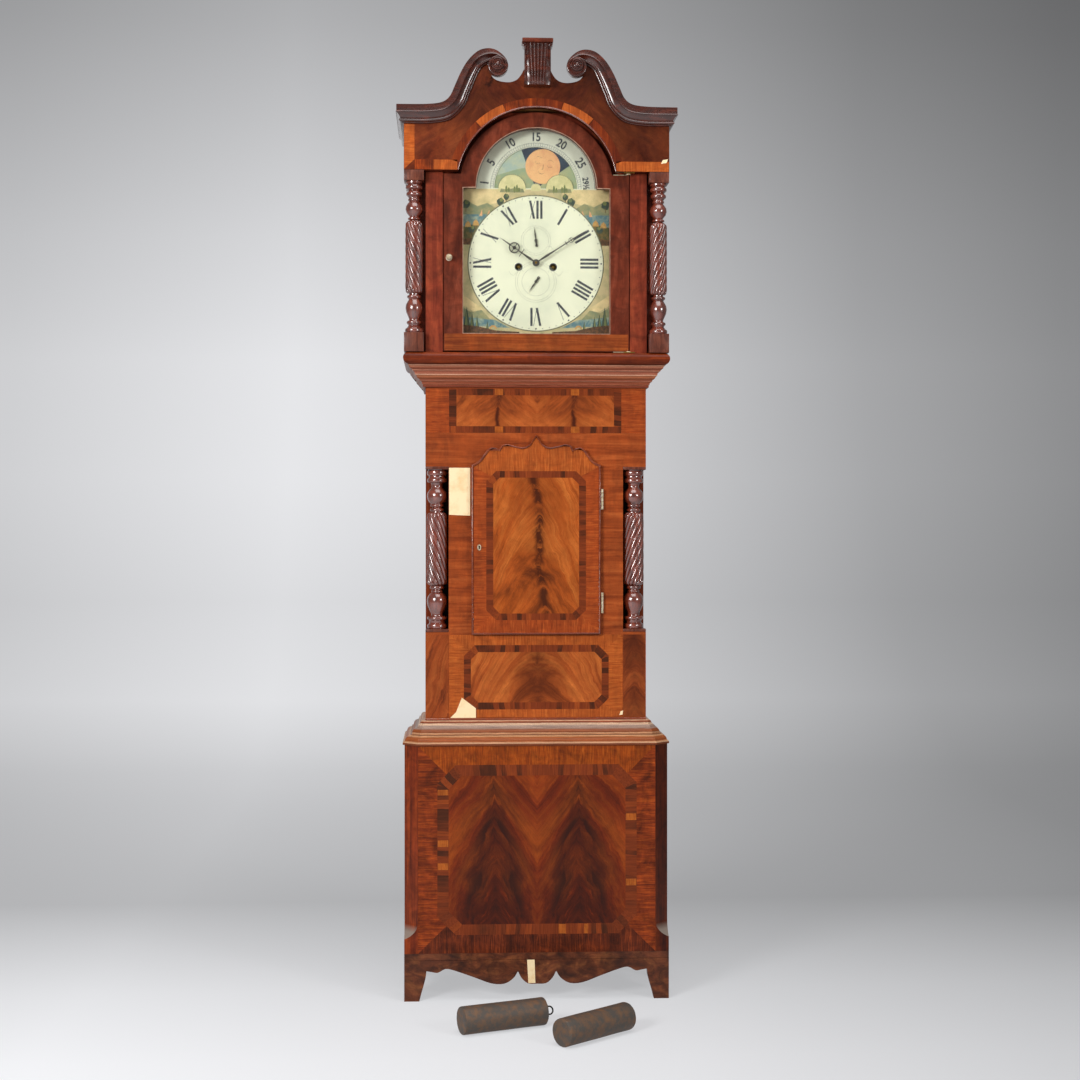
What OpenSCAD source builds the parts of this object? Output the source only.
// Longcase clock with a painted moon dial: case, sliding hood, two doors, eight-day movement, weights.
// +Z is up, the dial faces -Y, and the floor is at z = 0.
// The origin is the centre of the floor area that the clock and its two weights cover.

/* [Case widths] */
// Width of the trunk
trunk_w = 536; // [510:1:560]
// How far the base box stands out beyond the trunk at each side
base_out = 50; // [44:1:60]
// How far the hood's frieze board stands out beyond the trunk at each side
hood_out = 51; // [46:0.5:58]
// How far the cornice stands out at each side
cornice_out = 19; // [12:1:26]

/* [Case depth and heights] */
// Depth of the trunk from its front to the wall
trunk_d = 215; // [205:1:250]
// Height of the plinth with its bracket feet
plinth_h = 114; // [105:1:130]
// Height of the base panel
base_h = 497; // [450:1:560]
// Height of the stepped moulding between base and trunk
base_moulding_h = 56; // [45:1:70]
// Height of the lower trunk, up to the door
lower_trunk_h = 208; // [190:1:230]
// Height of the trunk door at its shoulders
door_h = 411; // [380:1:450]
// Height from the door's shoulders to the throat moulding
frieze_h = 188; // [175:1:210]
// Height of the throat moulding under the hood
throat_h = 52; // [45:1:60]
// Height of the hood's bottom rail
hood_rail_h = 29; // [24:1:36]
// Height of the hood columns
hood_column_h = 435; // [425:1:445]
// Height of the frieze board beside the arch
fascia_h = 152; // [145:1:165]
// Height of the swan necks and finial over the cornice
crest_h = 158; // [150:1:175]

/* [Boards and fits] */
// Thickness of the case boards
board = 18; // [15:1:20]
// Thickness of the backboard
back_t = 12; // [9:1:16]
// Radius of the hole for the screw that holds the clock to a wall
wall_hole_r = 3; // [2:0.5:4]
// Gap between wooden faces that move past each other
wood_gap = 0.3; // [0.2:0.1:0.6]
// Radial clearance of pins and pivots in their holes
run_gap = 0.06; // [0.04:0.01:0.1]

/* [Base] */
// Width of the flat on each canted front corner, measured along the front
cant = 32; // [24:1:40]
// Height of the square part under each canted corner
cant_stop = 30; // [15:1:50]
// Radius of the scoop at the foot of each cant
scoop_r = 42; // [34:1:50]
// Height of the plain strip at the top of the plinth
strip_h = 16; // [10:1:22]
// Width of a bracket foot on the floor
foot_w = 36; // [28:1:46]
// Lowest point of the shaped apron above the floor
apron_low = 39; // [30:1:48]

/* [Trunk] */
// Width of each corner recess that holds a column
recess_w = 56; // [52:1:62]
// Depth of each corner recess
recess_d = 54; // [52:1:60]
// Thickness of the square plate at each end of a trunk column
plate_t = 7; // [5:1:9]
// Radius of the widest ball on a trunk column
trunk_ball_r = 24; // [20:0.5:25]
// Thickness of the seatboard
seat_t = 22; // [18:1:28]

/* [Trunk door] */
// Width of the trunk door over its edge moulding
door_w = 313; // [290:1:330]
// Height of the shaped door top over its shoulders
door_peak = 73; // [66:1:80]
// Width of the moulding round the door
door_bead = 12; // [9:1:15]
// How far that moulding laps over the trunk front
door_lap = 7; // [5:1:8]
// How far the door stands in front of the trunk
door_proud = 13; // [10:1:16]
// Thickness of the door board
door_t = 21; // [18:1:24]
// Radius of the hinge barrels
barrel_r = 4; // [3.5:0.1:5]
// Length of each trunk door hinge
hinge_l = 50; // [40:1:60]

/* [Hood] */
// Radius of the arch cut in the frieze board
arch_r = 194; // [190:1:198]
// Height of the centre of the hood's arches above its bottom rail
arch_rise = 394; // [390:1:398]
// Thickness of the frieze board
fascia_t = 20; // [16:1:20]
// Side of the square blocks on the hood columns
block_w = 48; // [42:1:50]
// Distance from the hood's front to the door in it
door_set = 24; // [22:1:28]
// Width of the swan neck mouldings
neck_w = 42; // [38:1:46]
// How far the swan necks stand in front of the frieze board
neck_out = 20; // [14:1:24]
// Distance of each scroll's centre from the clock's middle
scroll_x = 92; // [86:1:100]
// Radius of the turned scroll centre
eye_r = 22; // [18:1:24]
// Width of the finial block's top plate
finial_w = 74; // [66:1:80]
// Thickness of the finial block's top plate
plate_h = 11; // [8:1:14]

/* [Hood door] */
// Width of the hood door
hood_door_w = 448; // [440:1:452]
// Width of the hood door's stiles
stile_w = 47; // [46:1:54]
// Height of the hood door's bottom rail
door_rail_h = 43; // [38:1:46]
// Thickness of the hood door
hood_door_t = 22; // [18:1:24]
// Thickness of the glass
glass_t = 3; // [2:0.5:4]
// Diameter of the door knob
knob_d = 15; // [12:1:20]
// Radius of the hood door's pivot pins
pivot_r = 2.5; // [2:0.5:3]

/* [Dial] */
// Width of the painted dial plate
dial_w = 364; // [362:1:370]
// Thickness of the dial plate
dial_t = 2; // [1.5:0.5:3]
// Radius of the dial's arch
dial_arch_r = 147; // [143:1:150]
// Height of the dial's arch centre above the centre of the hood's arch
dial_rise = 10; // [7:1:12]
// Radius of the opening for the moon disc
moon_open_r = 101; // [96:1:103]
// Radius of the two humps at the moon opening's ends
hump_r = 34; // [30:1:36]
// Distance of the humps from the middle
hump_x = 58; // [56:1:60]
// Radius of the moon disc
moon_disc_r = 105; // [104:1:110]
// Distance of the centre arbor below the centre of the arch
arbor_drop = 182; // [178:1:185]
// Distance of the seconds hand above the centre arbor
seconds_rise = 55.4; // [55:0.1:56]
// Distance of the calendar hand below the centre arbor
calendar_drop = 45; // [44:0.5:47]
// Distance of each winding hole from the middle
winding_x = 42; // [41.5:0.5:44]
// Distance of the winding holes below the centre arbor
winding_drop = 9; // [7:0.5:10]

/* [Hands] */
// Length of the minute hand
minute_l = 149; // [140:1:152]
// Length of the hour hand
hour_l = 108; // [98:1:114]
// Thickness of the hands
hand_t = 1.2; // [0.8:0.1:1.6]

/* [Movement] */
// Width of the movement's two plates
plates_w = 158; // [156:1:170]
// Height of the plates below the centre arbor
plates_down = 54; // [53:1:58]
// Height of the plates above the centre arbor
plates_up = 100; // [99:1:110]
// Thickness of each plate
plate_brass = 3; // [2.5:0.5:4]
// Distance between the plates
plate_space = 60; // [60:1:66]
// Distance from the dial's back to the front plate
dial_space = 40; // [38:1:44]
// Radius of the arbors
arbor_r = 1.8; // [1.5:0.1:1.9]
// Radius of the pivots in the plates
pivot_brass_r = 1.2; // [1:0.1:1.4]
// Radius of the winding barrels
barrel_drum_r = 24.5; // [22:0.5:25]
// Radius of the bell
bell_r = 45; // [40:1:48]

/* [Pendulum] */
// Length of the pendulum from its suspension to the middle of the bob
pendulum_l = 994; // [960:1:1010]
// Diameter of the pendulum bob
bob_d = 110; // [95:1:125]
// Thickness of the pendulum bob
bob_t = 26; // [20:1:30]
// Diameter of the pendulum rod
rod_d = 5; // [4:0.5:6]

/* [Weights] */
// Diameter of each driving weight
weight_d = 65; // [58:1:72]
// Length of each driving weight
weight_l = 205; // [190:1:215]
// Diameter of the wire in the weight hooks
wire_d = 3.6; // [3:0.2:4.4]

/* [Hidden] */
$fn = 48;

// The base and the hood stand out alike at the front and at the sides
base_w = trunk_w + 2*base_out;
fascia_w = trunk_w + 2*hood_out;
base_d = trunk_d + base_out;
hood_d = trunk_d + hood_out;

// Levels above the floor
panel_z = plinth_h;
moulding_z = panel_z + base_h;
trunk_z = moulding_z + base_moulding_h;
door_z = trunk_z + lower_trunk_h;
throat_z = door_z + door_h + frieze_h;
hood_z = throat_z + throat_h + wood_gap;
rail_z = hood_z + hood_rail_h;
fascia_z = rail_z + hood_column_h;
cornice_z = fascia_z + fascia_h;
top_z = cornice_z + crest_h;
arch_z = rail_z + arch_rise;
dial_arch_z = arch_z + dial_rise;
arbor_z = dial_arch_z - arbor_drop;
seat_z = arbor_z - plates_down;

// Where the weights lie: distance from the middle, distance in front of the base, turn from the front
left_weight = [-90, 253, 21];
right_weight = [111, 332, 40];
weight_edge = 3;
front_reach = base_d + right_weight[1] + (weight_l/2 - weight_edge)*sin(right_weight[2])
    + weight_d/2*cos(right_weight[2]);

// Planes from the wall forwards
back_y = front_reach/2;
trunk_y = back_y - trunk_d;
base_y = back_y - base_d;
hood_y = back_y - hood_d;
inside_y = back_y - back_t;

// Moves a flat drawing into an upright board with its front at y
module front_board(y, t) {
    translate([0, y + t, 0]) rotate([90, 0, 0]) linear_extrude(t) children();
}
// Moves a flat drawing of depth and height into a board whose left face is at x
module side_board(x, t) {
    translate([x, 0, 0]) rotate([90, 0, 90]) linear_extrude(t) children();
}
module level_board(z, t) {
    translate([0, 0, z]) linear_extrude(t) children();
}
module pair() {
    children();
    mirror([1, 0, 0]) children();
}
// A cylinder along the depth of the clock, from y backwards
module turned(y, t, r) {
    translate([0, y + t, 0]) rotate([90, 0, 0]) cylinder(h = t, r = r);
}
module at(p) {
    translate([p[0], 0, p[1]]) children();
}
module block(x0, x1, y0, y1, z0, z1) {
    translate([x0, y0, z0]) cube([x1 - x0, y1 - y0, z1 - z0]);
}

// One point of a smooth curve through four points
function between(a, b, c, d, t) =
    0.5*(2*b + (c - a)*t + (2*a - 5*b + 4*c - d)*t*t + (3*b - a - 3*c + d)*t*t*t);
function smooth(p, n) = [
    for (i = [0:len(p) - 2]) for (k = [0:n - 1])
        between(p[max(i - 1, 0)], p[i], p[i + 1], p[min(i + 2, len(p) - 1)], k/n),
    p[len(p) - 1]];
function mirrored(p) = [for (i = [len(p) - 1:-1:0]) [-p[i][0], p[i][1]]];
// Points along part of an ellipse, and of a circle
function oval(c, rx, ry, a0, a1, n) =
    [for (i = [0:n]) let(a = a0 + (a1 - a0)*i/n) c + [rx*cos(a), ry*sin(a)]];
function arc(c, r, a0, a1, n) = oval(c, r, r, a0, a1, n);

// The closed skin through a list of rings that have the same number of points
module skin(rings) {
    n = len(rings[0]);
    last = len(rings) - 1;
    polyhedron(
        points = [for (ring = rings) each ring],
        faces = concat(
            [[for (i = [0:n - 1]) i]],
            [for (j = [0:last - 1]) for (i = [0:n - 1])
                [j*n + i, (j + 1)*n + i, (j + 1)*n + (i + 1)%n, j*n + (i + 1)%n]],
            [[for (i = [n - 1:-1:0]) last*n + i]]));
}
// A moulding round the front and both sides of the trunk's plan.
// The profile lists how far it stands out and its height; corner cuts grow with the first.
function plan_corner(k, out, cut) = let(w = trunk_w/2 + out, y = trunk_y - out)
    [[-w, back_y], [-w, y + cut], [-w + cut, y], [w - cut, y], [w, y + cut], [w, back_y]][k];
module round_moulding(z, profile, cut_share) {
    skin([for (k = cut_share > 0 ? [0:5] : [0, 1, 3, 5]) [for (p = profile)
        let(q = plan_corner(k, p[0], cut_share*(p[0] + 0.05))) [q[0], q[1], z + p[1]]]]);
}

// Half of the apron's lower edge from the middle to the notch, then from there to the foot
apron_x = base_w/2 - foot_w - 17;
function apron_half() = let(s = apron_x/271, low = apron_low)
    [[0, low], [22*s, low + 1], [38*s, low + 14], [46*s, low + 29]];
function apron_wave() = let(s = apron_x/271, low = apron_low)
    [[48*s, low + 29], [58*s, low + 14], [80*s, low + 1], [112*s, low + 2], [154*s, low + 17],
     [200*s, low + 33], [224*s, low + 38], [243*s, low + 29], [258*s, low + 31], [apron_x, low + 33]];
// The foot's inner edge: how far in from the foot's sole, and its height
foot_curve = [[15, 56], [11, 40], [5, 20], [0, 0]];
// Half of the plinth front, from the middle of its lower edge round the foot to the top
function plinth_half() = concat(
    smooth(apron_half(), 3), smooth(apron_wave(), 3),
    [for (p = foot_curve) [base_w/2 - foot_w - p[0], p[1]]], [[base_w/2, 0]]);

module plinth_front() {
    half = plinth_half();
    color("#6b2f1a") difference() {
        front_board(base_y, board)
            polygon(concat(half, [[base_w/2, plinth_h], [-base_w/2, plinth_h]],
                [for (i = [len(half) - 1:-1:1]) [-half[i][0], half[i][1]]]));
        block(-base_w, base_w, base_y - 1, base_y + 1.2, plinth_h - strip_h - 1.2, plinth_h - strip_h);
    }
}
module plinth_sides() {
    y0 = base_y + board;
    inner = foot_w + board;
    outline = [[y0, 0], [y0 + foot_w, 0], [y0 + inner, 30], [y0 + inner + 12, 62],
        [inside_y - inner - 12, 62], [inside_y - inner, 30], [inside_y - foot_w, 0],
        [inside_y, 0], [inside_y, plinth_h], [y0, plinth_h]];
    color("#5f2a18") pair() side_board(base_w/2 - board, board) polygon(outline);
}
module base_front_panel() {
    color("#7c3a1e") block(-base_w/2 + cant, base_w/2 - cant, base_y, base_y + board, panel_z, moulding_z);
}
module base_corner_posts() {
    w = base_w/2;
    post = cant + 6;
    color("#5f2a18") pair() difference() {
        block(w - cant, w, base_y, base_y + post, panel_z, moulding_z);
        // The cant above the stop, then its scooped end
        translate([w, base_y, panel_z + cant_stop + scoop_r]) rotate([0, 0, 45])
            translate([-cant*2, -cant*sqrt(2), 0]) cube([cant*4, cant*sqrt(2)*1.5, base_h]);
        intersection() {
            translate([w - cant/2, base_y + cant/2, panel_z + cant_stop + scoop_r])
                rotate([0, 0, 45]) translate([0, -scoop_r, 0]) rotate([0, 90, 0])
                cylinder(h = cant*3, r = scoop_r, center = true);
            block(w - cant, w + 1, base_y - 1, base_y + post, panel_z,
                panel_z + cant_stop + scoop_r + 0.01);
        }
    }
}
module base_sides() {
    color("#5f2a18") pair()
        block(base_w/2 - board, base_w/2, base_y + cant + 6, inside_y, panel_z, moulding_z);
}
module base_frames() {
    w = base_w/2 - board;
    // The floor of the base stands on the plinth's inner edge
    color("#b98a55") {
        block(-w, w, base_y + board, inside_y, panel_z - 12, panel_z);
        difference() {
            union() {
                block(-w, w, base_y + cant + 6, inside_y, moulding_z - board, moulding_z);
                block(-base_w/2 + cant, base_w/2 - cant, base_y + board, base_y + cant + 7,
                    moulding_z - board, moulding_z);
            }
            block(-trunk_w/2 + board + 20, trunk_w/2 - board - 20, trunk_y + 40, inside_y + 1,
                moulding_z - board - 1, moulding_z + 1);
        }
    }
}
// Profiles of the two stepped mouldings: how far out and how far up, for a reach of 50 and 41 mm
base_steps = [[0, 0], [54.5, 0], [54.5, 5], [51, 8], [49, 9], [48.5, 13], [46, 17], [41, 20], [36, 21],
    [36, 24], [32, 25], [32, 28.5], [31, 32], [28, 36], [23, 38], [20, 39], [18.5, 43], [17, 46], [13, 47],
    [13, 50.5], [12, 53], [9, 55.5], [8.5, 56], [0, 56]];
throat_steps = [[0, 0], [5, 0], [6.5, 2], [6.5, 4], [5, 6], [8, 7], [8.5, 11], [11, 14], [14, 15], [14, 18],
    [16, 19], [20, 22], [21.5, 27], [25, 28], [25, 30], [26, 34], [29, 37.5], [32, 38.5], [32, 41.5],
    [34.5, 42], [38, 45], [39, 49], [41, 49.5], [41, 52], [0, 52]];
function stepped(steps, reach, height) = let(last = len(steps) - 1, k = max([for (p = steps) p[0]]))
    [for (p = steps) [p[0]*reach/k, p[1]*height/steps[last][1]]];
module base_moulding() {
    reach = base_out + 4.5;
    color("#5a2716") round_moulding(moulding_z, stepped(base_steps, reach, base_moulding_h), cant/base_out);
}
// The wall screw is reached through the door, beside the pendulum
wall_hole = [130, throat_z - 30];
// How far the backboard stays above the floor, so that the clock rests on its feet
back_low_z = 62;
module backboard() {
    w0 = base_w/2;
    w1 = trunk_w/2;
    w2 = hood_inner_x - 2;
    half = [[w0, back_low_z], [w0, moulding_z], [w1, moulding_z], [w1, rail_z + 25], [w2, rail_z + 30],
        [w2, arch_z], [w2 - 90, roof_z - 6]];
    color("#8f5a34") front_board(inside_y, back_t) difference() {
        polygon(concat(half, mirrored(half)));
        translate(wall_hole) circle(r = wall_hole_r);
    }
}

// Trunk
stile_x = trunk_w/2 - recess_w;
recess_z = [door_z + 6, door_z + door_h - 4];
frame_t = 20;
door_y = trunk_y - door_proud;
// Half of the door's top from its middle to its shoulder
function door_top_half(w, top, rise) = let(s = w/156.5, k = rise/74) [
    [0, top], [7*s, top - 11*k], [14*s, top - 22*k], [25*s, top - 29*k], [36*s, top - 31*k],
    [58*s, top - 26*k], [70*s, top - 23*k], [84*s, top - 25*k], [90*s, top - 37*k],
    [96*s, top - 33*k], [108*s, top - 31*k],
    [118*s, top - 36*k], [126*s, top - 47*k], [136*s, top - 61*k], [146*s, top - 69*k], [w, top - rise]];
function door_outline(inset) = let(w = door_w/2 - inset, top = door_z + door_h + door_peak - inset,
    half = door_top_half(w, top, door_peak))
    concat([[-w, door_z + inset]], [[w, door_z + inset]], [for (i = [len(half) - 1:-1:0]) half[i]],
        [for (i = [1:len(half) - 1]) [-half[i][0], half[i][1]]]);

module trunk_front_frame() {
    w = trunk_w/2;
    color("#8a4420") front_board(trunk_y, frame_t) difference() {
        polygon([[-w, moulding_z + 1], [w, moulding_z + 1], [w, recess_z[0]], [stile_x, recess_z[0]],
            [stile_x, recess_z[1]], [w, recess_z[1]], [w, throat_z + throat_h], [-w, throat_z + throat_h],
            [-w, recess_z[1]], [-stile_x, recess_z[1]], [-stile_x, recess_z[0]], [-w, recess_z[0]]]);
        polygon(door_outline(door_lap));
    }
}
module trunk_sides() {
    y0 = trunk_y + frame_t;
    color("#7c3a1e") pair() side_board(trunk_w/2 - board, board) polygon([
        [y0, moulding_z], [inside_y, moulding_z], [inside_y, seat_z - seat_t], [y0 + 20, seat_z - seat_t],
        [y0 + 20, throat_z + throat_h], [y0, throat_z + throat_h], [y0, recess_z[1]],
        [trunk_y + recess_d, recess_z[1]], [trunk_y + recess_d, recess_z[0]], [y0, recess_z[0]]]);
}
module trunk_recesses() {
    z = recess_z;
    color("#3f1a10") pair() {
        level_board(z[0], z[1] - z[0]) polygon([
            [stile_x - 10, trunk_y + frame_t], [stile_x, trunk_y + frame_t], [stile_x, trunk_y + recess_d],
            [trunk_w/2 - board, trunk_y + recess_d], [trunk_w/2 - board, trunk_y + recess_d + 10],
            [stile_x - 10, trunk_y + recess_d + 10]]);
    }
}
// A turned column from a list of heights and radii as shares of the whole height
trunk_column_x = trunk_w/2 - recess_w/2;
module trunk_columns() {
    h = recess_z[1] - recess_z[0] - 2*plate_t;
    b = trunk_ball_r;
    s = h/386;
    profile = concat(
        [[0, 0], [21, 0], [21, 11*s], [17, 15*s], [17, 20*s], [19.5, 24*s], [17, 30*s], [15, 34*s]],
        arc([b - 14, 66*s], 14, -60, 60, 6),
        [[14, 89*s], [16.5, 93*s], [16.5, 102*s], [15, 106*s], [16.5, 200*s], [15, 281*s], [18, 285*s],
         [18, 300*s], [15, 304*s]], arc([b - 17, 323*s], 17, -65, 65, 6),
        [[15, 343*s], [16, 354*s], [20, 358*s], [20, 366*s], [17, 369*s], [21, 374*s], [21, h], [0, h]]);
    color("#43190f") pair() translate([trunk_column_x, trunk_y + recess_d/2 - 1, recess_z[0]]) {
        translate([0, 0, plate_t]) rotate_extrude() polygon(profile);
        for (z = [0, plate_t + h])
            translate([-recess_w/2 + 0.3, -recess_d/2 - 2, z])
                cube([recess_w - 0.3 + 2.5, recess_d + 2.7, plate_t]);
    }
}
module throat_moulding() {
    color("#5a2716") round_moulding(throat_z, stepped(throat_steps, hood_out - 10, throat_h), 0);
}
module seatboard() {
    w = trunk_w/2;
    // It lies on the trunk sides and the gut lines pass its slots
    color("#a0703f") level_board(seat_z - seat_t, seat_t) difference() {
        translate([-w, plates_y - 12]) square([2*w, plate_space + 2*plate_brass + 20]);
        for (x = [-winding_x, winding_x])
            translate([x - 8, plates_y + 12]) square([16, plate_space - 18]);
    }
}

// Trunk door and its hinges
hinge_x = door_w/2 + barrel_r + 0.3;
hinge_y = trunk_y - door_proud/2;
hinge_zs = [door_z + 51, door_z + door_h - 108];
leaf_t = 1.6;
knuckle = hinge_l/5;
// The middle of the door stands a little behind its edge moulding
door_field_y = door_y + 4;
keyhole = [-door_w/2 + 18.5, door_z + door_h/2 + 6];
module key_slot() {
    translate(keyhole + [0, 2]) circle(r = 2);
    translate(keyhole + [-0.9, -5]) square([1.8, 7]);
}
module trunk_door() {
    color("#a04e20") difference() {
        union() {
            front_board(trunk_y - 3, door_t) polygon(door_outline(door_lap + 2));
            front_board(door_field_y, 8) polygon(door_outline(door_bead + 0.05));
        }
        front_board(door_field_y - 1, door_t + 10) key_slot();
    }
}
module trunk_door_moulding() {
    n = door_bead;
    color("#4a1d10") difference() {
        front_board(door_y, door_proud - 0.5) polygon(door_outline(0));
        front_board(door_y - 1, door_proud + 2) polygon(door_outline(n));
        front_board(trunk_y - 3, 5) polygon(door_outline(door_lap + 2));
    }
}
module keyhole_plate() {
    color("#b08a3c") front_board(door_field_y - 1, 1) difference() {
        union() {
            translate(keyhole + [0, 2]) circle(r = 3.4);
            translate(keyhole + [-2.1, -6.4]) square([4.2, 8]);
        }
        key_slot();
    }
}
module door_lock() {
    x = -door_w/2 + door_lap + 3;
    z = keyhole[1];
    y = trunk_y - 3 + door_t;
    color("#6f6a60") difference() {
        block(x, x + 52, y, y + 14, z - 32, z + 32);
        at(keyhole) turned(y - 1, 9, 3);
    }
}
module trunk_hinge_leaves() {
    color("#b08a3c") for (z = hinge_zs) translate([hinge_x, 0, z]) {
        // The leaf lies on the trunk front and carries three knuckles and the pin
        block(-1.5, 10, trunk_y - leaf_t, trunk_y, 0, hinge_l);
        for (k = [0, 2, 4]) {
            block(-1.2, 1.2, hinge_y, trunk_y - leaf_t/2, k*knuckle + 0.15, (k + 1)*knuckle - 0.15);
            translate([0, hinge_y, k*knuckle + 0.15]) cylinder(h = knuckle - 0.3, r = barrel_r);
        }
        translate([0, hinge_y, 0.15]) cylinder(h = hinge_l - 0.3, r = barrel_r*0.45);
    }
}
module trunk_door_leaves() {
    color("#b08a3c") for (z = hinge_zs) translate([hinge_x, 0, z]) for (k = [1, 3]) difference() {
        union() {
            translate([0, hinge_y, k*knuckle + 0.15]) cylinder(h = knuckle - 0.3, r = barrel_r);
            block(-barrel_r - 0.3, -barrel_r*0.6, hinge_y - 4, hinge_y + door_proud/2 - 1,
                k*knuckle + 0.15, (k + 1)*knuckle - 0.15);
        }
        translate([0, hinge_y, k*knuckle]) cylinder(h = knuckle, r = barrel_r*0.45 + run_gap);
    }
}

// Hood
hood_inner_x = fascia_w/2 - 33;
side_t = 15;
column_x = fascia_w/2 - block_w/2;
mask_t = 8;
door_front_y = hood_y + door_set;
mask_y = door_front_y + hood_door_t + 4;
dial_y = mask_y + mask_t + 1.5;
roof_z = cornice_z - 2;
roof_t = 9;
dial_low_z = dial_arch_z - dial_w + 6;

module hood_base_rail() {
    o = hood_out + 2;
    r = hood_rail_h/2;
    profile = concat([[4, 0], [o - r, 0]], arc([o - r, r], r, -75, 75, 8), [[o - r, 2*r], [4, 2*r]]);
    color("#4a1d10") round_moulding(hood_z, profile, 0);
}
// What the mask leaves open in front of the dial
module dial_sight(inset) {
    translate([-dial_w/2 + inset, dial_low_z + inset])
        square([dial_w - 2*inset, dial_arch_z - dial_low_z - inset]);
    translate([0, dial_arch_z]) circle(r = dial_arch_r - inset/2);
}
module hood_frame() {
    post = fascia_w/2 - block_w - 4;
    strip_x = hood_door_w/2 + 2;
    side_x = hood_inner_x + side_t;
    color("#6b2a17") {
        pair() level_board(rail_z, fascia_z - rail_z) polygon([
            [strip_x, door_front_y], [post, door_front_y], [post, hood_y + block_w + 2],
            [side_x, hood_y + block_w + 2], [side_x, mask_y + mask_t], [strip_x, mask_y + mask_t]]);
        front_board(mask_y, mask_t) difference() {
            translate([-hood_inner_x, rail_z]) square([2*hood_inner_x, roof_z - rail_z]);
            dial_sight(3.5);
        }
    }
}
module hood_sides() {
    y0 = mask_y + mask_t;
    x0 = hood_inner_x;
    color("#6b2a17") pair() {
        block(x0, x0 + side_t, y0, back_y, rail_z, roof_z);
        block(x0 + side_t, fascia_w/2, hood_y + fascia_t, back_y, fascia_z, roof_z);
        block(x0, x0 + side_t + 0.01, hood_y + fascia_t, y0, fascia_z, roof_z);
    }
}
module hood_columns() {
    s = hood_column_h/435;
    foot = 46*s;
    head = hood_column_h - 31*s;
    l = head - foot;
    k = l/358;
    profile = concat([[0, 0], [20, 0], [20, 14*k], [16, 17*k], [19, 19*k], [19, 26*k], [14, 28*k]],
        arc([4, 48*k], 15, -65, 65, 6), [[12, 64*k], [12, 76*k], [14.5, 82*k], [17, 160*k], [14.5, 250*k],
         [12, 252*k], [16.5, 254*k], [16.5, 262*k], [12, 266*k]],
        arc([4, 282*k], 15, -65, 65, 6), [[12, 300*k], [13, 310*k], [18, 314*k], [18, 326*k], [15, 330*k],
         [20, 334*k], [20, l], [0, l]]);
    color("#43190f") pair() translate([column_x, hood_y + block_w/2, rail_z]) {
        translate([-block_w/2, -block_w/2, 0]) cube([block_w, block_w, foot]);
        translate([0, 0, foot]) rotate_extrude() polygon(profile);
        translate([-block_w/2, -block_w/2, head]) cube([block_w, block_w, hood_column_h - head]);
    }
}

// The pediment's curves are given beside the middle and above the cornice, then spread to fit
drawn_scroll_x = 92;
drawn_reach = 318;
drawn_crest_h = 162;
drawn_neck_w = 42;
function spread(p) = let(k = (fascia_w/2 - scroll_x)/(drawn_reach - drawn_scroll_x))
    [scroll_x + (p[0] - drawn_scroll_x)*(p[0] > drawn_scroll_x ? k : 1),
     cornice_z + p[1]*crest_h/drawn_crest_h];
neck_upper = [[318, 0], [262, 1], [227, 6], [208, 20], [195, 48], [181, 80], [163, 110], [140, 132],
    [117, 139], [96, 135], [78, 121], [69, 106], [74, 93]];
neck_lower = [[318, -44], [258, -44], [207, -34], [174, -2], [160, 31], [148, 61], [135, 89], [126, 99],
    [112, 106], [101, 110], [93, 112], [88, 107], [84, 98]];
// Across the moulding from its lower edge: how far up and how far out
neck_profile = [[0, 0], [0.02, 0.24], [0.06, 0.26], [0.1, 0.48], [0.17, 0.6], [0.24, 0.58], [0.27, 0.5],
    [0.38, 0.56], [0.5, 0.74], [0.56, 0.9], [0.59, 1], [1, 1], [1, 0]];
scroll_centre = [91.5, 97];
eye_centre = [92.4, 101.5];
module swan_neck_mouldings() {
    upper = smooth([for (p = neck_upper) spread(p)], 2);
    lower = smooth([for (i = [0:len(neck_lower) - 1])
        let(u = neck_upper[i]) spread(u + (neck_lower[i] - u)*neck_w/drawn_neck_w)], 2);
    side = [for (y = [back_y, hood_y]) [for (p = neck_profile)
        let(z = lower[0][1] + (upper[0][1] - lower[0][1])*p[0])
        [fascia_w/2 + p[1]*cornice_out, y == hood_y ? y - p[1]*neck_out : y, z]]];
    front = [for (i = [1:len(upper) - 1]) [for (p = neck_profile)
        let(q = lower[i] + (upper[i] - lower[i])*p[0]) [q[0], hood_y - p[1]*neck_out, q[1]]]];
    color("#4a1d10") pair() difference() {
        skin(concat(side, front));
        at(spread(scroll_centre)) turned(hood_y - 2*neck_out, 3*neck_out, eye_r);
    }
}
module scroll_centres() {
    r = eye_r;
    h = neck_out;
    color("#43190f") pair() {
        at(spread(scroll_centre)) translate([0, hood_y, 0]) rotate([90, 0, 0]) rotate_extrude()
            polygon([[0, 0], [r, 0], [r, h - 7], [r - 1, h - 3], [r - 3, h], [r - 6, h],
                [r - 8, h - 3], [0, h - 3]]);
        at(spread(eye_centre)) translate([0, hood_y - h + 4, 0]) rotate([90, 0, 0]) rotate_extrude()
            polygon([[0, 0], [r*0.6, 0], [r*0.6, 4], [r*0.52, 6], [r*0.42, 6], [r*0.34, 3], [r*0.28, 6],
                [r*0.12, 8], [0, 6]]);
    }
}
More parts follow.
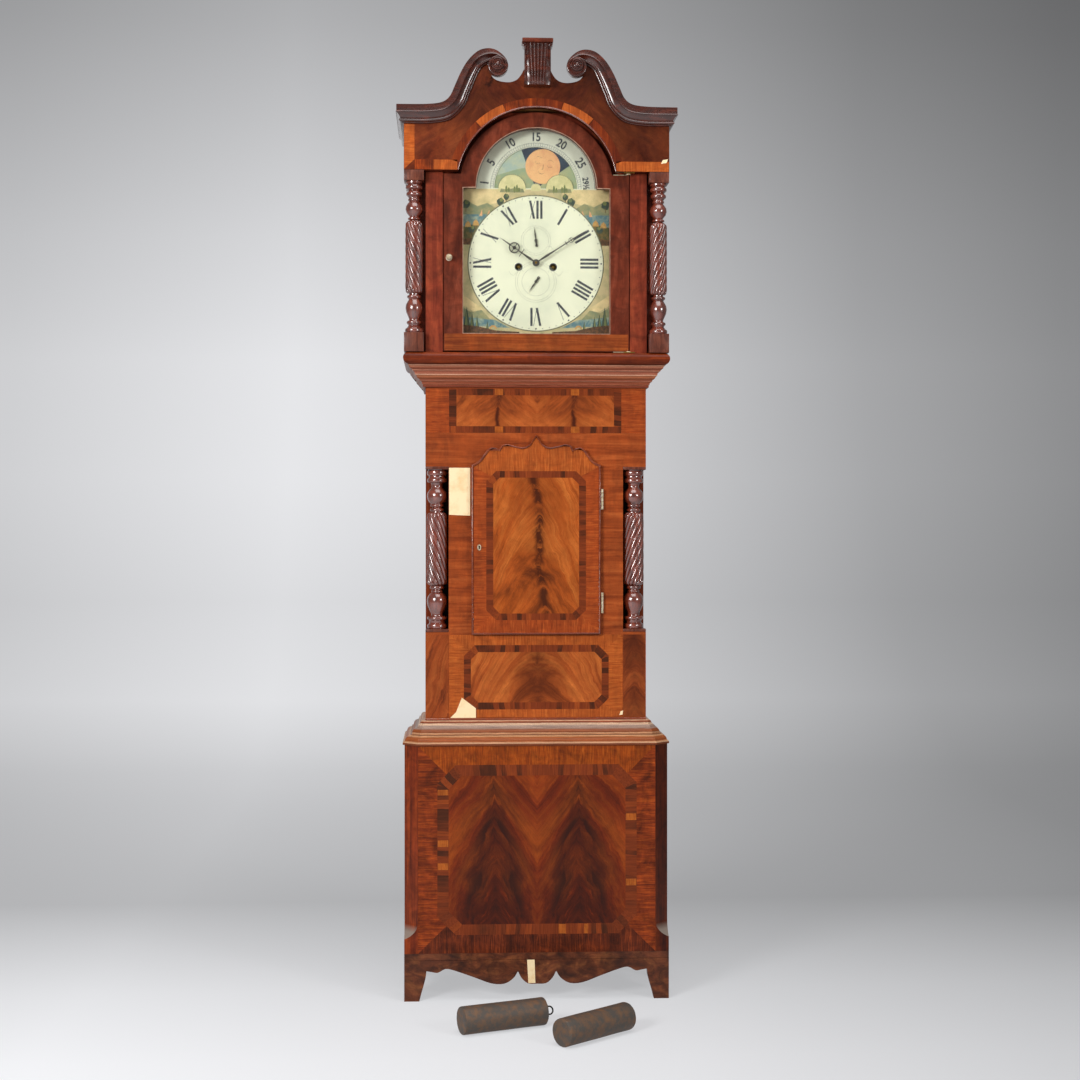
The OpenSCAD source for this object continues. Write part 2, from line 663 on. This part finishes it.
module hood_fascia() {
    crest = [for (p = [[225, 3], [203, 18], [187, 51], [172, 84], [150, 108], [130, 112], [116, 100],
        [111, 82], [104, 70], [89, 63], [66, 61], [48, 68], [36, 84], [28, 104], [26, 116]]) spread(p)];
    smooth_crest = smooth(crest, 3);
    color("#8a3f1f") front_board(hood_y, fascia_t) difference() {
        polygon(concat([[-fascia_w/2, fascia_z], [fascia_w/2, fascia_z], [fascia_w/2, cornice_z - 2]],
            smooth_crest, mirrored(smooth_crest), [[-fascia_w/2, cornice_z - 2]]));
        translate([0, arch_z]) circle(r = arch_r, $fn = 96);
    }
}
module finial_block() {
    low = spread([0, 49])[1];
    high = top_z - plate_h;
    w = finial_w/2;
    ear = 5;
    color("#43190f") {
        block(-w + 6, w - 6, hood_y - 30, hood_y, low, high);
        block(-w, w, hood_y - 36, hood_y + 8, high, top_z);
        pair() at([w - ear - 1, high - ear + 1]) turned(hood_y - 30, 30, ear);
    }
}
module hood_roof() {
    color("#8f5a34") block(-fascia_w/2, fascia_w/2, hood_y + fascia_t, back_y, roof_z, roof_z + roof_t);
}

// Hood door
door_gap = 4.3;
door_low_z = rail_z + door_gap;
door_high_z = fascia_z - door_gap;
pivot = [hood_door_w/2 - 2, door_front_y - 6];
// Seen from in front and a little below, this height brings the door's arch round the dial's arch
sight_z = arch_z + dial_rise/3;
module door_sight(grow) {
    w = hood_door_w/2 - stile_w + grow;
    translate([-w, door_low_z + door_rail_h - grow])
        square([2*w, sight_z - door_low_z - door_rail_h + 2*grow]);
    translate([0, sight_z]) circle(r = dial_arch_r - 1 + grow, $fn = 96);
}
glass_y = door_front_y + hood_door_t*0.6;
module hood_door_frame() {
    color("#6b2a17") difference() {
        front_board(door_front_y, hood_door_t) union() {
            translate([-hood_door_w/2, door_low_z]) square([hood_door_w, door_high_z - door_low_z]);
            translate([0, arch_z]) circle(r = arch_r - 7.5, $fn = 96);
        }
        front_board(door_front_y - 1, hood_door_t + 2) door_sight(0);
        front_board(glass_y, hood_door_t) door_sight(6);
    }
}
module hood_door_glass() {
    color("#c8d4d0", 0.35) front_board(glass_y, glass_t) door_sight(5.7);
}
module hood_door_brasses() {
    r = knob_d/2;
    color("#b08a3c") {
        translate([-hood_door_w/2 + 13, door_front_y, arbor_z + 6]) rotate([90, 0, 0]) rotate_extrude()
            polygon(concat([[0, 0], [r, 0], [r, 1.5], [r*0.45, 3], [r*0.45, 6]],
                arc([0, 12], r, -50, 90, 8)));
        // The straps that the door turns on, one on its shoulder and one under its rail
        for (z = [door_high_z, door_low_z - 2]) level_board(z, 2) difference() {
            union() {
                translate([pivot[0] - 36, door_front_y + 1]) square([38, hood_door_t*0.7]);
                translate([pivot[0] - 6, pivot[1]]) square([8, 8]);
                translate(pivot) circle(r = pivot_r + 3);
            }
            translate(pivot) circle(r = pivot_r + run_gap);
        }
    }
}
module hood_door_pivots() {
    color("#b08a3c") {
        translate([pivot[0], pivot[1], rail_z]) cylinder(h = door_gap + 0.5, r = pivot_r);
        block(pivot[0] - 12, pivot[0] + 14, door_front_y - 18, door_front_y - 1, rail_z, rail_z + 2);
        translate([pivot[0], pivot[1], fascia_z - door_gap - 0.5])
            cylinder(h = door_gap + 0.5, r = pivot_r);
        block(pivot[0] - 12, pivot[0] + 14, door_front_y - 18, door_front_y - 4.5, fascia_z - 2, fascia_z);
    }
}

// Dial
C = [0, arbor_z];
E = C + [0, seconds_rise];
K = C - [0, calendar_drop];
G = C + [winding_x, -winding_drop];
S = C + [-winding_x, -winding_drop];
post_r = 1.2;
plates_y = dial_y + dial_t + dial_space;
in_y = plates_y + plate_brass;
rear_y = in_y + plate_space + plate_brass;
module dial_plate() {
    color("#e4e8cf") {
        front_board(dial_y, dial_t) difference() {
            union() {
                translate([-dial_w/2, dial_low_z]) square([dial_w, dial_arch_z - dial_low_z]);
                translate([0, dial_arch_z]) circle(r = dial_arch_r, $fn = 96);
            }
            translate([0, dial_arch_z]) difference() {
                intersection() {
                    circle(r = moon_open_r, $fn = 96);
                    translate([-moon_open_r, 0]) square([2*moon_open_r, moon_open_r]);
                }
                for (x = [-hump_x, 0, hump_x]) translate([x, 0]) circle(r = x == 0 ? 12 : hump_r);
            }
            for (p = [G, S]) translate(p) circle(r = 8);
            translate(C) circle(r = 6.5);
            for (p = [E, K]) translate(p) circle(r = 3.2);
        }
        // The stud that the moon disc turns on
        at([0, dial_arch_z]) turned(dial_y + dial_t/2, dial_t/2 + 5, post_r*2);
    }
}
moon_teeth = 118;
module moon_disc() {
    r = moon_disc_r;
    color("#3c4a5a") at([0, dial_arch_z]) front_board(dial_y + dial_t + 1, 1.2) difference() {
        polygon([for (i = [0:2*moon_teeth - 1])
            let(a = 180*i/moon_teeth) (r + (i%2)*1.8)*[cos(a), sin(a)]]);
        circle(r = post_r*2 + run_gap);
    }
}

// Wheel work: the position of an arbor that meshes with two others
function meet(p, q, rp, rq, turn) = let(d = norm(q - p), a = (rp*rp - rq*rq + d*d)/(2*d),
    h = sqrt(rp*rp - a*a), u = (q - p)/d) p + a*u + turn*h*[u[1], -u[0]];
function aim(p, q) = atan2(q[1] - p[1], q[0] - p[0]);
function polar(r, a) = r*[cos(a), sin(a)];
// Tooth counts of the wheels and of the pinions that they drive
great_n = 96;
centre_n = 60;
third_n = 56;
escape_n = 30;
leaves = 8;
small_leaves = 7;
strike_n = 78;
pin_n = 56;
gathering_n = 49;
cannon_n = 28;
minute_n = 42;
minute_leaves = 9;
hour_n = 72;
train_mod = 0.9;
strike_mod = 0.95;
pin_mod = 0.85;
gathering_mod = 0.75;
warning_mod = 0.7;
great_mod = 2*norm(G - C)/(great_n + leaves);
third_p = meet(C, E, train_mod*(centre_n + leaves)/2, train_mod*(third_n + small_leaves)/2, 1);
pin_p = S + polar(strike_mod*(strike_n + leaves)/2, 100);
gathering_p = pin_p + polar(pin_mod*(pin_n + small_leaves)/2, 60);
warning_p = gathering_p + polar(gathering_mod*(gathering_n + small_leaves)/2, 130);
fly_p = warning_p + polar(warning_mod*(gathering_n + small_leaves)/2, 30);
minute_dist = 27;
minute_p = C + polar(minute_dist, 120);
cannon_mod = 2*minute_dist/(cannon_n + minute_n);
hour_mod = 2*minute_dist/(minute_leaves + hour_n);
anchor_p = E + [0, 27.6];
hammer_p = C + [-72, 58];
bell_y = in_y + plate_space/2;

// The outline of a wheel or pinion with tapered teeth
function toothed(n, m, wide, narrow) = [for (i = [0:n - 1]) for (k = [0:3])
    let(share = [-wide, -narrow, narrow, wide][k]/2, r = n*m/2 + (k == 0 || k == 3 ? -1.3*m : 0.7*m))
    polar(r, 360/n*(i + share))];
module pinion(p, n, m, y, t, turn) {
    at(p) front_board(y, t) rotate(turn) polygon(toothed(n, m, 0.4, 0.22));
}
// A wheel with four crossings; turn brings a gap in line with its pinion
module wheel(p, n, m, y, t, turn, hub) {
    r = n*m/2 - 3*m - 1.6;
    at(p) front_board(y, t) difference() {
        rotate(turn - 180/n) polygon(toothed(n, m, 0.46, 0.16));
        for (q = [0:90:270]) rotate(q + 45)
            polygon(concat(arc([0, 0], r, 12, 78, 6), arc([0, 0], hub, 62, 28, 2)));
    }
}
// An arbor between the plates with its pivots
module arbor(p) {
    at(p) {
        turned(in_y + 0.3, plate_space - 0.6, arbor_r);
        turned(in_y - plate_brass + 0.3, plate_brass, pivot_brass_r);
        turned(in_y + plate_space - 0.3, plate_brass, pivot_brass_r);
    }
}
front_pivots = [third_p, pin_p, gathering_p, warning_p, fly_p, anchor_p, hammer_p, E];
module movement_plates() {
    hole = pivot_brass_r + run_gap;
    color("#b8964a") {
        difference() {
            block(-plates_w/2, plates_w/2, plates_y, in_y, seat_z, arbor_z + plates_up);
            for (p = front_pivots) at(p) turned(plates_y - 1, plate_brass + 2, hole);
            at(C) turned(plates_y - 1, plate_brass + 2, arbor_r + run_gap);
            for (p = [G, S]) at(p) turned(plates_y - 1, plate_brass + 2, 4 + run_gap);
        }
        at(minute_p) turned(plates_y - 16, 16.5, post_r);
        at(K) turned(dial_y - 4, plates_y - dial_y + 4.5, post_r);
        difference() {
            block(-plates_w/2, plates_w/2, rear_y - plate_brass, rear_y, seat_z, arbor_z + plates_up);
            for (p = [third_p, pin_p, gathering_p, warning_p, fly_p, hammer_p, E, C, G, S])
                at(p) turned(rear_y - plate_brass - 1, plate_brass + 2, hole);
            at(anchor_p) turned(rear_y - plate_brass - 1, plate_brass + 2, 8);
        }
    }
}
module pillars_and_feet() {
    color("#b8964a") for (x = [-1, 1]) {
        for (z = [-45, 90]) at(C + [x*(plates_w/2 - 9), z]) {
            turned(in_y, plate_space, 3.6);
            for (d = [0, plate_space/2 - 3, plate_space - 4])
                turned(in_y + d, d == 0 ? 4 : 5 - (d > 40 ? 1 : 0), 4.6);
        }
        for (z = [-42, 80]) at(C + [x*66, z]) turned(dial_y + dial_t, dial_space, 3);
    }
}
pendulum_y = rear_y + 28;
module back_cock() {
    z = anchor_p[1];
    color("#b8964a") difference() {
        union() {
            block(-28, 28, rear_y + 18, rear_y + 21, z - 8, z + 14);
            pair() block(20, 28, rear_y, rear_y + 18.5, z - 8, z + 14);
            block(-14, 14, rear_y + 20.5, pendulum_y + 7, z + 3, z + 9);
            block(-4, 4, pendulum_y - 0.2, pendulum_y + 0.2, z + 0.3, z + 4);
        }
        at(anchor_p) turned(rear_y + 17, 5, pivot_brass_r + run_gap);
    }
}
module bell() {
    r = bell_r;
    color("#c2a661") translate([0, bell_y, arbor_z + plates_up + 8]) rotate_extrude() polygon(concat(
        [[arbor_r + 1, 30]], [[arbor_r + 1, 33]], arc([r - 28, 5], 28, 90, 0, 6), [[r + 1, 0], [r - 3, 0]],
        arc([r - 28, 5], 25, 0, 90, 6)));
}
module bell_stand() {
    z = arbor_z + plates_up;
    color("#6f6a60") {
        block(-5, 5, rear_y, rear_y + 4, z - 14, z + 6);
        block(-4, 4, bell_y - 4, rear_y + 0.5, z + 2, z + 6);
        translate([0, bell_y, z + 5]) cylinder(h = 40, r = arbor_r + 0.9);
        translate([0, bell_y, z + 34]) cylinder(h = 4, r = 6);
        translate([0, bell_y, z + 41]) cylinder(h = 5, r = 6, $fn = 6);
    }
}

module great_arbor(p) {
    at(p) {
        turned(dial_y + 0.5, plates_y - dial_y, 3.2);
        turned(plates_y - 4, plate_brass + 5, 4);
        turned(in_y + 0.3, plate_space - 0.6, 5);
        turned(in_y + plate_space - 0.4, plate_brass, pivot_brass_r);
        // The winding barrel between its two caps
        turned(in_y + 14, 35, barrel_drum_r - 1.5);
        for (d = [14, 47]) turned(in_y + d, 2, barrel_drum_r);
    }
}
wheel_t = 2;
module going_great_wheel() {
    color("#b8964a") {
        great_arbor(G);
        wheel(G, great_n, great_mod, in_y + 50, wheel_t, aim(G, C), 9);
        at(G) turned(in_y + 49, 2, 8);
    }
}
module centre_wheel() {
    color("#b8964a") {
        arbor(C);
        wheel(C, centre_n, train_mod, in_y + 8, wheel_t, aim(C, third_p), 6);
        pinion(C, leaves, great_mod, in_y + 45, 10, aim(C, G));
        // The cannon pinion and its pipe go through the dial to the minute hand
        at(C) turned(plates_y - 2, plate_brass + 3, arbor_r);
        at(C) turned(dial_y - 12, plates_y - dial_y + 11, 3);
        wheel_blank(C, cannon_n, cannon_mod, plates_y - 8, 4, aim(C, minute_p));
    }
}
module wheel_blank(p, n, m, y, t, turn) {
    at(p) front_board(y, t) rotate(turn - 180/n) polygon(toothed(n, m, 0.46, 0.16));
}
module third_wheel() {
    color("#b8964a") {
        arbor(third_p);
        pinion(third_p, leaves, train_mod, in_y + 4, 10, aim(third_p, C));
        wheel(third_p, third_n, train_mod, in_y + 55.5, wheel_t, aim(third_p, E), 6);
    }
}
escape_r = 20;
module escape_wheel() {
    color("#b8964a") {
        arbor(E);
        pinion(E, small_leaves, train_mod, in_y + 50, 9, aim(E, third_p));
        at(E) front_board(in_y + 36, wheel_t) difference() {
            polygon([for (i = [0:escape_n - 1]) for (k = [0:2])
                polar(k == 1 ? escape_r : escape_r - 3.5, 360/escape_n*i + [-1.5, 0, 4][k])]);
            for (q = [0:90:270]) rotate(q + 45)
                polygon(concat(arc([0, 0], escape_r - 6, 16, 74, 5), arc([0, 0], 5, 60, 30, 2)));
        }
        at(E) turned(dial_y - 4.6, plates_y - dial_y + 5, pivot_brass_r);
    }
}
module minute_wheel() {
    color("#b8964a") difference() {
        union() {
            wheel_blank(minute_p, minute_n, cannon_mod, plates_y - 7.5, 3,
                aim(minute_p, C) + 180/minute_n);
            pinion(minute_p, minute_leaves, hour_mod, plates_y - 14, 7, aim(minute_p, C));
        }
        at(minute_p) turned(plates_y - 20, 20, post_r + run_gap);
    }
}
module hour_wheel() {
    e = plates_y;
    color("#b8964a") difference() {
        union() {
            wheel_blank(C, hour_n, hour_mod, e - 12, wheel_t, aim(C, minute_p));
            at(C) turned(dial_y - 8.4, e - dial_y - 1.2, 5);
            // The snail that counts the strokes, one step for each hour
            at(C) front_board(e - 16, 2) polygon([for (h = [0:11]) for (k = [0:3])
                polar(8 + h*1.1, -30*h - 7.4*k)]);
        }
        at(C) turned(dial_y - 20, e - dial_y + 20, 3 + run_gap);
    }
}
module hand_outline(l, ring_at, ring_r, stem) {
    neck = ring_at - ring_r*0.8;
    shoulder = ring_at + ring_r*0.8;
    difference() {
        union() {
            circle(r = 8);
            polygon([[-stem, 0], [stem, 0], [stem*0.7, neck], [-stem*0.7, neck]]);
            translate([0, ring_at]) circle(r = ring_r);
            polygon([[-stem*1.2, shoulder], [stem*1.2, shoulder], [stem*0.9, l*0.78],
                [0, l], [-stem*0.9, l*0.78]]);
            translate([-ring_r*1.2, shoulder + 3]) square([ring_r*2.4, 3]);
        }
        translate([0, ring_at]) circle(r = ring_r*0.55);
    }
}
// The hands show nine and a half minutes past ten
minute_turn = -57;
hour_turn = 55.3;
module minute_hand() {
    color("#4c4a40") at(C) front_board(dial_y - 11.2, hand_t) difference() {
        rotate(minute_turn) hand_outline(minute_l, minute_l*0.66, 7, 3);
        circle(r = 3);
    }
}
module hour_hand() {
    color("#4c4a40") at(C) front_board(dial_y - 8, hand_t) difference() {
        rotate(hour_turn) hand_outline(hour_l, hour_l*0.58, 13, 3.4);
        circle(r = 5);
    }
}
module small_hand(p, l, tail, turn, bore) {
    at(p) front_board(dial_y - 4.2, hand_t) difference() {
        rotate(turn) union() {
            circle(r = 3.6);
            polygon([[-1.4, -tail], [1.4, -tail], [0.9, l*0.7], [0, l], [-0.9, l*0.7]]);
            translate([0, -tail]) circle(r = 2.6);
        }
        circle(r = bore);
    }
}
module seconds_hand() {
    color("#4c4a40") small_hand(E, 33, 11, 8, pivot_brass_r);
}
module calendar_hand() {
    color("#4c4a40") {
        small_hand(K, 30, 9, 145, post_r + run_gap);
        difference() {
            union() {
                at(K) turned(dial_y - 4, dial_t + 16, post_r + 1.2);
                at(K) front_board(dial_y + dial_t + 9, 1.5) polygon(toothed(62, 0.48, 0.5, 0.2));
            }
            at(K) turned(dial_y - 5, 40, post_r + run_gap);
        }
    }
}
module anchor() {
    color("#6f6a60") {
        at(anchor_p) {
            turned(in_y + 0.3, plate_space + plate_brass + 17.4, arbor_r);
            turned(in_y - plate_brass + 0.3, plate_brass, pivot_brass_r);
            turned(rear_y + 17.5, 3.2, pivot_brass_r);
        }
        front_board(in_y + 34, 6) difference() {
            translate(anchor_p) polygon([
                [-5, 6], [5, 6], [17, -4], [20, -15], [15, -17], [12, -8], [3, -4],
                [-3, -4], [-12, -8], [-15, -17], [-20, -15], [-17, -4]]);
            translate(E) circle(r = escape_r + 2);
        }
        // The crutch hangs behind the back plate and its fork holds the pendulum rod
        block(-2, 2, rear_y + 8, rear_y + 10, anchor_p[1] - 62, anchor_p[1]);
        block(-8, 8, rear_y + 8, rear_y + 12, anchor_p[1] - 66, anchor_p[1] - 61);
        pair() block(rod_d/2 + run_gap*3, rod_d/2 + 3, rear_y + 11, pendulum_y + 5,
            anchor_p[1] - 66, anchor_p[1] - 61);
    }
}
module pendulum() {
    z = anchor_p[1];
    low = z - pendulum_l;
    color("#a8873f") {
        block(-4, 4, pendulum_y - 0.2, pendulum_y + 0.2, z - 14, z - 0.3);
        translate([0, pendulum_y, low - bob_d/2 - 34])
            cylinder(h = pendulum_l + bob_d/2 + 24, r = rod_d/2);
        difference() {
            translate([0, pendulum_y, low]) rotate([90, 37, 0]) rotate_extrude($fn = 72)
                polygon([[0, -bob_t/2], [bob_d/6, -bob_t/2], [bob_d/2, -3],
                    [bob_d/2, 3], [bob_d/6, bob_t/2], [0, bob_t/2]]);
            translate([0, pendulum_y, low - bob_d]) cylinder(h = 2*bob_d, r = rod_d/2 + run_gap);
        }
        translate([0, pendulum_y, low - bob_d/2 - 12]) cylinder(h = 9, r = 10);
    }
}

// Striking train
module strike_great_wheel() {
    color("#b8964a") {
        great_arbor(S);
        wheel(S, strike_n, strike_mod, in_y + 50, wheel_t, aim(S, pin_p), 9);
        at(S) turned(in_y + 49, 2, 8);
    }
}
module pin_wheel() {
    color("#b8964a") {
        arbor(pin_p);
        pinion(pin_p, leaves, strike_mod, in_y + 46, 9, aim(pin_p, S));
        wheel(pin_p, pin_n, pin_mod, in_y + 8, wheel_t, aim(pin_p, gathering_p), 6);
        for (i = [0:7]) at(pin_p + polar(pin_n*pin_mod/2 - 3, 45*i + 20)) turned(in_y + 4, 4.5, 1);
    }
}
module gathering_wheel() {
    color("#b8964a") {
        arbor(gathering_p);
        pinion(gathering_p, small_leaves, pin_mod, in_y + 4, 10, aim(gathering_p, pin_p));
        wheel(gathering_p, gathering_n, gathering_mod, in_y + 28, wheel_t, aim(gathering_p, warning_p), 5);
    }
}
module warning_wheel() {
    color("#b8964a") {
        arbor(warning_p);
        pinion(warning_p, small_leaves, gathering_mod, in_y + 24, 10, aim(warning_p, gathering_p));
        wheel(warning_p, gathering_n, warning_mod, in_y + 44, wheel_t, aim(warning_p, fly_p), 5);
    }
}
module fly() {
    color("#b8964a") {
        arbor(fly_p);
        pinion(fly_p, small_leaves, warning_mod, in_y + 40, 10, aim(fly_p, warning_p));
        at(fly_p) front_board(in_y + 6, 17) square([28, 1], center = true);
        at(fly_p) turned(in_y + 6, 17, arbor_r + 0.8);
    }
}
module hammer() {
    p = hammer_p;
    color("#6f6a60") {
        arbor(p);
        front_board(bell_y - 2, 4) polygon([
            p + [-2, -2], p + [3, -2], C + [-55.5, 80], C + [-55.5, plates_up + 16],
            C + [-58.5, plates_up + 16], C + [-58.5, 81]]);
        translate([-61.3, bell_y, arbor_z + plates_up + 16]) rotate([0, 90, 0]) cylinder(h = 15, r = 6);
        front_board(in_y + 4, 3.6)
            polygon([p + [-2, 2], p + [-2, -3], p + [7, -10], p + [9, -8], p + [3, 2]]);
    }
}

// Weights
module weight(place) {
    r0 = weight_d/2;
    r = wire_d/2;
    loop = 9;
    color("#5a544d") translate([place[0], base_y - place[1], weight_d/2]) rotate([0, 0, place[2]]) {
        rotate([0, 90, 0]) rotate_extrude() polygon([[0, -weight_l/2], [r0 - weight_edge, -weight_l/2],
            [r0, -weight_l/2 + weight_edge], [r0, weight_l/2 - 2], [r0 - 2, weight_l/2], [0, weight_l/2]]);
        translate([weight_l/2 - 5, 0, 0]) rotate([0, 90, 0]) cylinder(h = 10, r = r);
        translate([weight_l/2 + 4 + loop, 0, 0]) rotate([70, 0, 0])
            rotate_extrude() translate([loop, 0]) circle(r = r);
    }
}
module weight_left() {
    weight(left_weight);
}
module weight_right() {
    weight(right_weight);
}

plinth_front();
plinth_sides();
base_front_panel();
base_sides();
base_corner_posts();
base_frames();
base_moulding();
backboard();
trunk_front_frame();
trunk_sides();
trunk_recesses();
trunk_columns();
throat_moulding();
seatboard();
trunk_hinge_leaves();
trunk_door();
trunk_door_moulding();
keyhole_plate();
door_lock();
trunk_door_leaves();
hood_base_rail();
hood_frame();
hood_sides();
hood_columns();
hood_fascia();
swan_neck_mouldings();
scroll_centres();
finial_block();
hood_roof();
hood_door_frame();
hood_door_glass();
hood_door_brasses();
hood_door_pivots();
dial_plate();
moon_disc();
movement_plates();
pillars_and_feet();
back_cock();
bell();
bell_stand();
going_great_wheel();
centre_wheel();
third_wheel();
escape_wheel();
minute_wheel();
hour_wheel();
minute_hand();
hour_hand();
seconds_hand();
calendar_hand();
anchor();
pendulum();
strike_great_wheel();
pin_wheel();
gathering_wheel();
warning_wheel();
fly();
hammer();
weight_left();
weight_right();
